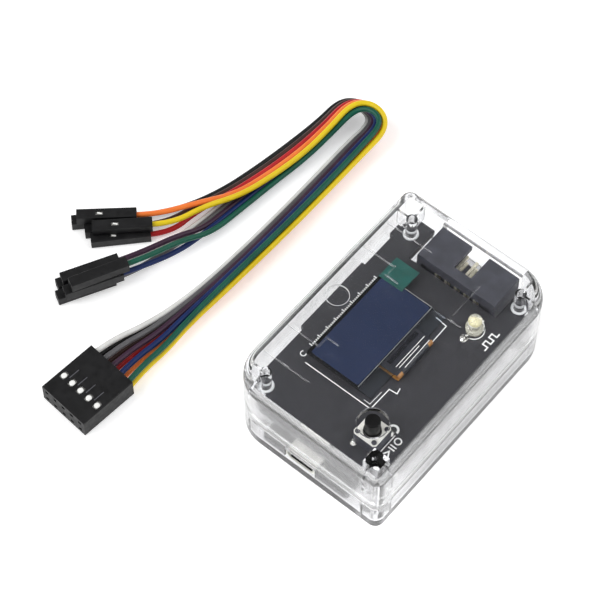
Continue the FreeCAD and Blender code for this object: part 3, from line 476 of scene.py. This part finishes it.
# ---------------------------------------------------------------- mesh helpers, in millimetres
def arc_points(centre, radius, start, end, steps=20):
    turns = [math.radians(start + (end - start) * k / steps) for k in range(steps + 1)]
    return [(centre[0] + radius * math.cos(t), centre[1] + radius * math.sin(t)) for t in turns]


def add_stroke(mesh, points, width, low, high, closed=False):
    """Raised line of even width along (x, y) points, mitred at its corners."""
    count = len(points)
    sections = []
    for k in range(count):
        here = Vector(points[k])
        before = Vector(points[k - 1]) if k or closed else None
        after = Vector(points[(k + 1) % count]) if k < count - 1 or closed else None
        into = (here - before).normalized() if before else (after - here).normalized()
        out = (after - here).normalized() if after else into
        along = (into + out).normalized()
        side = Vector((-along.y, along.x)) * (width / 2 / max(along.dot(into), 0.4))
        left = here + side
        right = here - side
        sections.append([mesh.verts.new(corner) for corner in (
            (left.x, left.y, low), (right.x, right.y, low), (right.x, right.y, high), (left.x, left.y, high))])
    for k in range(count if closed else count - 1):
        a = sections[k]
        b = sections[(k + 1) % count]
        for i in range(4):
            mesh.faces.new((a[i], a[(i + 1) % 4], b[(i + 1) % 4], b[i]))
    if not closed:
        mesh.faces.new(sections[0])
        mesh.faces.new(sections[-1][::-1])


def add_block(mesh, low, high):
    corners = [mesh.verts.new((x, y, z)) for z in (low[2], high[2]) for y in (low[1], high[1])
               for x in (low[0], high[0])]
    for ring in ((0, 2, 3, 1), (4, 5, 7, 6), (0, 1, 5, 4), (2, 6, 7, 3), (0, 4, 6, 2), (1, 3, 7, 5)):
        mesh.faces.new([corners[i] for i in ring])


def add_turned(mesh, centre, profile, steps=32):
    """Turned form about an upright axis from (radius, z) points; radius 0 closes it to a point."""
    rings = []
    for radius, z in profile:
        if radius == 0:
            rings.append([mesh.verts.new((*centre, z))])
        else:
            rings.append([mesh.verts.new((*place, z))
                          for place in arc_points(centre, radius, 0, 360, steps)[:-1]])
    for a, b in zip(rings, rings[1:]):
        for k in range(steps):
            following = (k + 1) % steps
            corners = [a[k % len(a)], a[following % len(a)], b[following % len(b)], b[k % len(b)]]
            mesh.faces.new(list(dict.fromkeys(corners)))


def add_band(mesh, path, thickness, x0, x1):
    """Bent strip along (y, z) points, from x0 to x1."""
    half = thickness / 2
    rows = []
    for k in range(len(path)):
        along = Vector(path[min(k + 1, len(path) - 1)]) - Vector(path[max(k - 1, 0)])
        side = Vector((-along.y, along.x)).normalized() * half
        here = Vector(path[k])
        corners = ((x0, 1), (x1, 1), (x1, -1), (x0, -1))
        rows.append([mesh.verts.new((x, *(here + side * sign))) for x, sign in corners])
    for a, b in zip(rows, rows[1:]):
        for i in range(4):
            mesh.faces.new((a[i], a[(i + 1) % 4], b[(i + 1) % 4], b[i]))
    mesh.faces.new(rows[0])
    mesh.faces.new(rows[-1][::-1])


def make_piece(name, mesh, material, body="case", smooth=False, bevel=0.0):
    bmesh.ops.recalc_face_normals(mesh, faces=mesh.faces)
    bmesh.ops.scale(mesh, vec=(MM, MM, MM), verts=mesh.verts)
    data = bpy.data.meshes.new(name)
    mesh.to_mesh(data)
    mesh.free()
    if smooth:
        data.shade_smooth()
    piece = bpy.data.objects.new(name, data)
    bpy.context.scene.collection.objects.link(piece)
    data.materials.append(material)
    if bevel:
        edge = piece.modifiers.new("edge", "BEVEL")
        edge.width = bevel * MM
        edge.segments = 2
        edge.limit_method = "ANGLE"
    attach(piece, body)
    return piece


def solid_boxes(node):
    """Box of each separate solid of a CAD node."""
    source = bmesh.new()
    source.from_mesh(NODES[node].data)
    bmesh.ops.remove_doubles(source, verts=source.verts, dist=1e-7)
    boxes = []
    waiting = set(source.verts)
    while waiting:
        edge_of = [waiting.pop()]
        found = []
        while edge_of:
            vert = edge_of.pop()
            found.append(vert.co / MM)
            for edge in vert.link_edges:
                other = edge.other_vert(vert)
                if other in waiting:
                    waiting.remove(other)
                    edge_of.append(other)
        boxes.append((Vector([min(place[i] for place in found) for i in range(3)]),
                      Vector([max(place[i] for place in found) for i in range(3)])))
    source.free()
    return sorted(boxes, key=lambda pair: tuple(pair[0]))


def middle(pair):
    return (pair[0] + pair[1]) / 2


# ---------------------------------------------------------------- print on the upper board
INK_HEIGHT = 0.03
INK_WIDTH = 0.22


def draw_on_panel(name, strokes, width=INK_WIDTH):
    mesh = bmesh.new()
    for points, closed in strokes:
        add_stroke(mesh, points, width, PANEL_TOP, PANEL_TOP + INK_HEIGHT, closed)
    return make_piece(name, mesh, WHITE_INK)


def make_panel_print():
    low, high = mm_box("display_substrate")
    x0 = low.x - 1.3
    y0 = low.y - 0.9
    draw_on_panel("print_display_outline", [
        ([(x0, high.y - 0.6), (x0 + 0.1, y0), (x0 + 6.1, y0 - 0.1), (x0 + 6.3, y0 - 2.0),
          (x0 + 7.7, y0 - 1.7)], False),
        ([(high.x - 0.4, low.y + 2.1), (high.x - 0.6, y0 + 0.1), (high.x - 5.4, y0)], False)])
    draw_on_panel("print_display_inner_line", [
        ([(x0 + 0.9, y0 + 2.4), (x0 + 0.9, y0 + 0.8), (x0 + 4.6, y0 + 0.7)], False)], 0.12)
    scale = []
    count = 41
    for k in range(count):
        x = low.x + 2.7 + (high.x - low.x - 3.4) * k / (count - 1)
        length = 1.1 if k % 5 == 0 else 0.7
        scale.append(([(x, high.y + 0.55), (x, high.y + 0.55 + length)], False))
    draw_on_panel("print_display_scale", scale, 0.24)
    draw_on_panel("print_corner_mark", [(arc_points((low.x + 0.1, high.y + 1.1), 0.6, 40, 300), False)])


def make_button_print():
    centre = middle(mm_box("button_plunger"))
    x, y = centre.x, centre.y
    draw_on_panel("print_button_outline", [
        ([(x - 2.8, y + 1.0), (x - 2.8, y - 0.8)], False),
        ([(x - 1.3, y - 3.3), (x + 3.4, y - 3.3)], False)])
    row = y - 4.6
    draw_on_panel("print_start_symbol", [
        ([(x - 1.7, row + 0.8), (x - 1.7, row - 0.8), (x - 0.2, row)], True),
        ([(x + 0.5, row + 0.8), (x + 0.5, row - 0.8)], False),
        ([(x + 1.2, row + 0.8), (x + 1.2, row - 0.8)], False),
        (arc_points((x + 2.7, row), 0.72, 0, 345), True)], 0.3)
    draw_on_panel("print_button_arc", [(arc_points((x + 4.2, y - 2.2), 1.0, -100, 70), False)], 0.5)


def make_lamp_print():
    centre = middle(mm_box("led_lens"))
    x, y = centre.x, centre.y
    draw_on_panel("print_lamp_outline", [(arc_points((x, y), 2.3, 195, 322), False)])
    draw_on_panel("print_lamp_flat", [
        ([(x + 1.2, y - 1.9), (x + 2.5, y - 0.5), (x + 2.5, y + 0.4)], False)], 0.5)
    row = y - 4.2
    step = 1.05
    swing = 0.65
    start = x - 2.6
    pulse = [(start, row - swing)]
    for k in range(4):
        level = row + (swing if k % 2 else -swing)
        pulse += [(start + step * (k + 1), level), (start + step * (k + 1), 2 * row - level)]
    pulse.append((x + 2.6, row - swing))
    draw_on_panel("print_lamp_symbol", [(pulse, False)], 0.3)


make_panel_print()
make_button_print()
make_lamp_print()


# ---------------------------------------------------------------- solder, rivets and posts
def solder_profile(radius, height):
    top = PANEL_TOP + 0.02
    return [(0, top), (radius, top), (radius * 0.96, top + 0.12), (radius * 0.66, top + height * 0.45),
            (radius * 0.45, top + height * 0.8), (radius * 0.25, top + height), (0, top + height)]


def make_solder():
    mesh = bmesh.new()
    for pair in solid_boxes("button_terminals"):
        add_turned(mesh, middle(pair)[:2], solder_profile(0.85, 0.8))
    make_piece("solder_button", mesh, SOLDER, smooth=True)
    mesh = bmesh.new()
    lens = middle(mm_box("led_lens"))
    for x in (lens.x - 3.1, lens.x + 2.6):
        add_turned(mesh, (x, lens.y + 0.3), solder_profile(0.9, 0.5))
    bridge = [(lens.x - 2.7, lens.y + 0.3), (lens.x - 1.3, lens.y + 0.1)]
    add_stroke(mesh, bridge, 0.5, PANEL_TOP, PANEL_TOP + 0.3)
    make_piece("solder_lamp", mesh, SOLDER, smooth=True)


def make_rivets():
    centre = middle(mm_box("button_plunger"))
    top = mm_box("button_cover")[1].z
    head = [(0, top - 0.2), (0.55, top - 0.2), (0.56, top - 0.02), (0.44, top + 0.1), (0.2, top + 0.14),
            (0, top + 0.14)]
    mesh = bmesh.new()
    reach = 2.12
    for sx in (-1, 1):
        for sy in (-1, 1):
            add_turned(mesh, (centre.x + sx * reach, centre.y + sy * reach), head, 24)
    make_piece("button_rivets", mesh, FINISH["black_nylon"], smooth=True)


def make_post_feet():
    """Painted highlights: pale rings where the lid's round posts stand on the board, standing in for the light
    caught at their feet.
    """
    inner = 1.27
    outer = 1.75
    foot = PANEL_TOP + 0.02
    rim = PANEL_TOP + 0.36
    seat = [(inner, foot), (outer, foot), (outer, PANEL_TOP + 0.2), (1.5, rim), (inner, rim), (inner, foot)]
    mesh = bmesh.new()
    for x, y in ((24.0, 14.4), (24.0, -14.4), (-24.0, 14.4)):
        add_turned(mesh, (x, y), seat)
    make_piece("post_foot_glints", mesh, PALE_GLINT, smooth=True)


def make_gate_ring():
    """Raised rim left round the gate mark on the lid; the rim is real, and its pale colour is a painted
    highlight.
    """
    mesh = bmesh.new()
    low = LID_TOP - 0.34
    add_stroke(mesh, arc_points((-0.9, 14.4), 2.5, 0, 354, 60), 0.12, low, low + 0.3, True)
    make_piece("gate_rim_glint", mesh, PALE_GLINT)


def case_outline(inset):
    """Case plan with its two big and two small corners, drawn in from the outer face."""
    high = mm_box("top_shell")[1]
    small = 2.2
    big = 8.6
    points = []
    for sx, sy, radius, start in ((1, 1, small, 0), (-1, 1, big, 90), (-1, -1, small, 180), (1, -1, big, 270)):
        centre = (sx * (high.x - radius), sy * (high.y - radius))
        points += arc_points(centre, radius - inset, start, start + 90, 12)
    return points


def make_parting_line():
    # Painted highlight: a pale stroke along the seam of the two shells stands in for the light the seam
    # catches.
    mesh = bmesh.new()
    add_stroke(mesh, case_outline(0.22), 0.16, PARTING_Z - 0.12, PARTING_Z + 0.12, True)
    make_piece("parting_line_glint", mesh, PAINTED_GLINT)


def make_usb_liner():
    """Black lining inside the metal USB shell: the back wall stands for the real black moulding, and the plates
    over the shell's inner faces are painted shade that darkens the mouth.
    """
    low, high = mm_box("usb_shell")
    wall = 0.28
    lining = 0.15
    front = low.x + 0.3
    back = high.x - 0.7
    mesh = bmesh.new()
    top = high.z - wall
    bottom = low.z + wall
    add_block(mesh, (front, low.y + wall, top - lining), (back, high.y - wall, top))
    add_block(mesh, (front, low.y + 1.3, bottom), (back, high.y - 1.3, bottom + lining))
    for y0, y1 in ((low.y + wall, low.y + wall + lining), (high.y - wall - lining, high.y - wall)):
        add_block(mesh, (front, y0, low.z + 0.9), (back, y1, top))
    add_block(mesh, (back - 0.2, low.y + 0.9, bottom), (back, high.y - 0.9, top))
    make_piece("usb_liner_and_shade", mesh, FINISH["black_plunger"], bevel=0.03)


make_parting_line()
make_usb_liner()
make_solder()
make_rivets()
make_post_feet()
make_gate_ring()


# ---------------------------------------------------------------- display edge and flat cable
def make_flat_cable_details():
    low, high = mm_box("display_flex")
    thickness = 0.14
    radius = (high.z - low.z - thickness) / 2
    fold_y = low.y + radius * 0.9 + thickness / 2
    centre_z = (low.z + high.z) / 2
    reach = radius + 0.1
    path = [(-4.2, centre_z + reach)]
    for k in range(13):
        angle = math.pi / 2 + math.pi * k / 12 * 0.95
        path.append((fold_y + reach * 0.9 * math.cos(angle), centre_z + reach * math.sin(angle)))
    mesh = bmesh.new()
    add_band(mesh, path, 0.05, low.x + 1.5, high.x - 1.3)
    add_band(mesh, path[:3], 0.06, low.x - 0.05, high.x + 0.05)
    ledge = mm_box("display_substrate")[1].z
    glass_edge = mm_box("display_cover_glass")[0].y
    add_block(mesh, (low.x - 0.1, -5.0, ledge), (high.x + 0.1, glass_edge, high.z + 0.02))
    make_piece("cable_cover_film", mesh, COVERLAY)

    # Painted highlights: pale strokes on the glass ledge and the folded cable stand in for light caught by film
    # and glass edges and the metal traces.
    glints = bmesh.new()
    top = centre_z + reach + 0.03
    add_stroke(glints, [(high.x - 0.3, -4.0), (low.x + 1.5, -4.0)], 0.13, ledge, ledge + 0.2)
    add_stroke(glints, [(high.x - 2.8, -4.6), (low.x + 1.8, -4.65)], 0.15, top - 0.1, top)
    add_stroke(glints, [(high.x - 0.4, -5.35), (low.x + 2.6, -5.5)], 0.13, top - 0.1, top)
    add_stroke(glints, [(high.x - 0.1, -5.75), (low.x + 2.0, -5.8)], 0.1, centre_z + 0.6, centre_z + 0.7)
    make_piece("cable_edge_glints", glints, PAINTED_GLINT)


def make_glass_edges():
    """Painted highlights: thin pale lines along the edges of the two glasses, standing in for the light their
    edges catch.
    """
    low, high = mm_box("display_cover_glass")
    film = mm_box("display_polarizer")[1].z
    mesh = bmesh.new()
    add_stroke(mesh, [(low.x + 0.1, low.y + 0.12), (high.x - 0.1, low.y + 0.12)], 0.07, high.z, film)
    add_stroke(mesh, [(high.x - 0.12, low.y + 0.2), (high.x - 0.12, high.y - 0.1)], 0.1, high.z, film)
    make_piece("glass_edge_glints", mesh, GLASS_EDGE_GLINT)


def make_lamp_core():
    """Reflector cup and its pale resin, seen through the lens."""
    lens = middle(mm_box("led_lens"))
    base = PANEL_TOP + 1.9
    mesh = bmesh.new()
    add_turned(mesh, lens[:2], [(0, base - 0.6), (0.55, base - 0.6), (0.7, base), (1.12, base + 0.9),
                                (1.0, base + 0.95), (0.6, base + 0.3), (0, base + 0.3)])
    make_piece("lamp_reflector", mesh, SOLDER, smooth=True)
    mesh = bmesh.new()
    add_turned(mesh, lens[:2], [(0, base + 0.32), (0.58, base + 0.32), (0.98, base + 0.9), (0.8, base + 1.3),
                                (0.4, base + 1.6), (0, base + 1.7)])
    make_piece("lamp_resin", mesh, PHOSPHOR, smooth=True)
    # Painted highlights: two pale rings inside the lens stand in for the light caught at its rim.
    mesh = bmesh.new()
    for radius, level in ((1.4, PANEL_TOP + 3.0), (1.4, PANEL_TOP + 0.9)):
        add_turned(mesh, lens[:2], [(radius - 0.12, level), (radius, level), (radius, level + 0.08),
                                    (radius - 0.12, level + 0.08), (radius - 0.12, level)])
    make_piece("lamp_rim_glints", mesh, PALE_GLINT, smooth=True)


make_flat_cable_details()
make_glass_edges()
make_lamp_core()


# ---------------------------------------------------------------- parts on the boards
def make_end_caps():
    mesh = bmesh.new()
    grow = 0.03
    for node in ("resistors", "capacitors", "lamp_resistor"):
        for low, high in solid_boxes(node):
            size = high - low
            axis = 0 if size.x > size.y else 1
            cap = size[axis] * 0.22
            for end in (0, 1):
                a = low - Vector((grow, grow, 0))
                b = high + Vector((grow, grow, grow))
                if end == 0:
                    b[axis] = low[axis] + cap
                else:
                    a[axis] = high[axis] - cap
                add_block(mesh, a, b)
    make_piece("chip_end_caps", mesh, SOLDER, bevel=0.05)


def make_chip_marks():
    mesh = bmesh.new()
    for node in ("microcontroller", "input_buffers", "memory_chip"):
        for low, high in solid_boxes(node):
            if high.z - low.z > 0.8:
                add_turned(mesh, (low.x + 0.8, high.y - 0.8), [(0, high.z), (0.3, high.z), (0.3, high.z + 0.02),
                                                               (0, high.z + 0.02)], 20)
    make_piece("chip_first_pin_marks", mesh, WHITE_INK)


make_end_caps()
make_chip_marks()


# ---------------------------------------------------------------- contact tongues in the housings
def make_tongues():
    """Sprung tongue that stands in each window of the lead housings, coloured pale as a painted highlight, and
    painted highlights on the housing's groove bottoms, standing in for their lit walls.
    """
    mesh = bmesh.new()
    for low, high in solid_boxes("lead_housing_contacts"):
        if high.z > LEAD_ROW_Z["upper"]:
            centre = middle((low, high))
            add_turned(mesh, centre[:2], [(0, high.z - 0.1), (0.68, high.z - 0.1), (0.66, high.z + 0.08),
                                          (0.4, high.z + 0.2), (0, high.z + 0.22)], 20)
    window_back = 8.1
    for color in LAYERS["lower"]:
        end, turn = bundle_end("lower", color)
        ahead, across = heading(turn)
        centre = end - ahead * window_back
        top = end.z + 0.98
        a = centre - ahead * 0.5 + across * 0.12
        b = centre + ahead * 0.5 - across * 0.12
        add_stroke(mesh, [a[:2], b[:2]], 0.3, top, top + 0.2)
    make_piece("contact_tongue_glints", mesh, PAINTED_GLINT, "lead_set")

    # Painted highlights: grey strokes on the housing's groove bottoms stand in for the lit groove walls.
    groove_highlights = bmesh.new()
    ahead, across = heading(LEAD_HOUSING_TURN)
    top = mm_box("lead_housing")[1].z
    for k in range(4):
        side = Vector((*LEAD_HOUSING_AT, 0)) + across * (PIN_PITCH * (1.5 - k))
        add_stroke(groove_highlights, [(side - ahead * 8.55)[:2], (side - ahead * 5.85)[:2]], 0.2, top - 0.25, top - 0.05)
    make_piece("housing_groove_highlights", groove_highlights, GROOVE_HIGHLIGHT, "lead_set")


make_tongues()


# ---------------------------------------------------------------- softened edges on moulded CAD parts
def soften(node, width):
    weld = NODES[node].modifiers.new("weld", "WELD")
    weld.merge_threshold = 0.000002
    edge = NODES[node].modifiers.new("edge", "BEVEL")
    edge.width = width * MM
    edge.segments = 2
    edge.limit_method = "ANGLE"
    edge.angle_limit = math.radians(40)


for moulded in ("header_shroud", "button_base", "lead_housing"):
    soften(moulded, 0.12)


# ---------------------------------------------------------------- studio
def make_floor():
    half = 4.0
    mesh = bpy.data.meshes.new("floor")
    corners = [(-half, -half, 0), (half, -half, 0), (half, half, 0), (-half, half, 0)]
    mesh.from_pydata(corners, [], [(0, 1, 2, 3)])
    floor = bpy.data.objects.new("floor", mesh)
    bpy.context.scene.collection.objects.link(floor)
    floor.location.z = -0.0001
    finish = Finish("floor_paper", (0.96, 0.96, 0.96), 0.8)
    finish.tint(finish.noise(60.0, 2.0), (0.955, 0.955, 0.957))
    finish.set("Emission Color", (1.0, 1.0, 1.0, 1.0)).set("Emission Strength", 0.3)
    mesh.materials.append(finish.material)


def make_world():
    """White all round the horizon and dim overhead, so that the lid stays clear of glare."""
    world = bpy.data.worlds.new("studio")
    world.use_nodes = True
    tree = world.node_tree
    place = tree.nodes.new("ShaderNodeTexCoord")
    split = tree.nodes.new("ShaderNodeSeparateXYZ")
    fade = tree.nodes.new("ShaderNodeMapRange")
    fade.interpolation_type = "SMOOTHSTEP"
    for socket, number in (("From Min", 0.3), ("From Max", 0.8), ("To Min", 1.15), ("To Max", 0.16)):
        fade.inputs[socket].default_value = number
    tree.links.new(place.outputs["Generated"], split.inputs["Vector"])
    tree.links.new(split.outputs["Z"], fade.inputs["Value"])
    tree.links.new(fade.outputs["Result"], tree.nodes["Background"].inputs["Strength"])
    tree.nodes["Background"].inputs["Color"].default_value = (1.0, 1.0, 1.0, 1.0)
    bpy.context.scene.world = world


def make_sun(name, toward, strength, spread):
    light = bpy.data.lights.new(name, "SUN")
    light.energy = strength
    light.angle = math.radians(spread)
    lamp = bpy.data.objects.new(name, light)
    lamp.rotation_mode = "QUATERNION"
    lamp.rotation_quaternion = Vector(toward).to_track_quat("Z", "Y")
    bpy.context.scene.collection.objects.link(lamp)


make_floor()
make_world()
make_sun("key", (-0.62, 0.42, 0.85), 1.7, 45.0)
make_sun("fill", (0.45, -0.50, 0.90), 1.1, 60.0)
bpy.context.scene.view_settings.view_transform = "Standard"

for see_through in ("top_shell", "bottom_shell", "display_substrate", "display_cover_glass", "led_lens"):
    NODES[see_through].visible_shadow = False
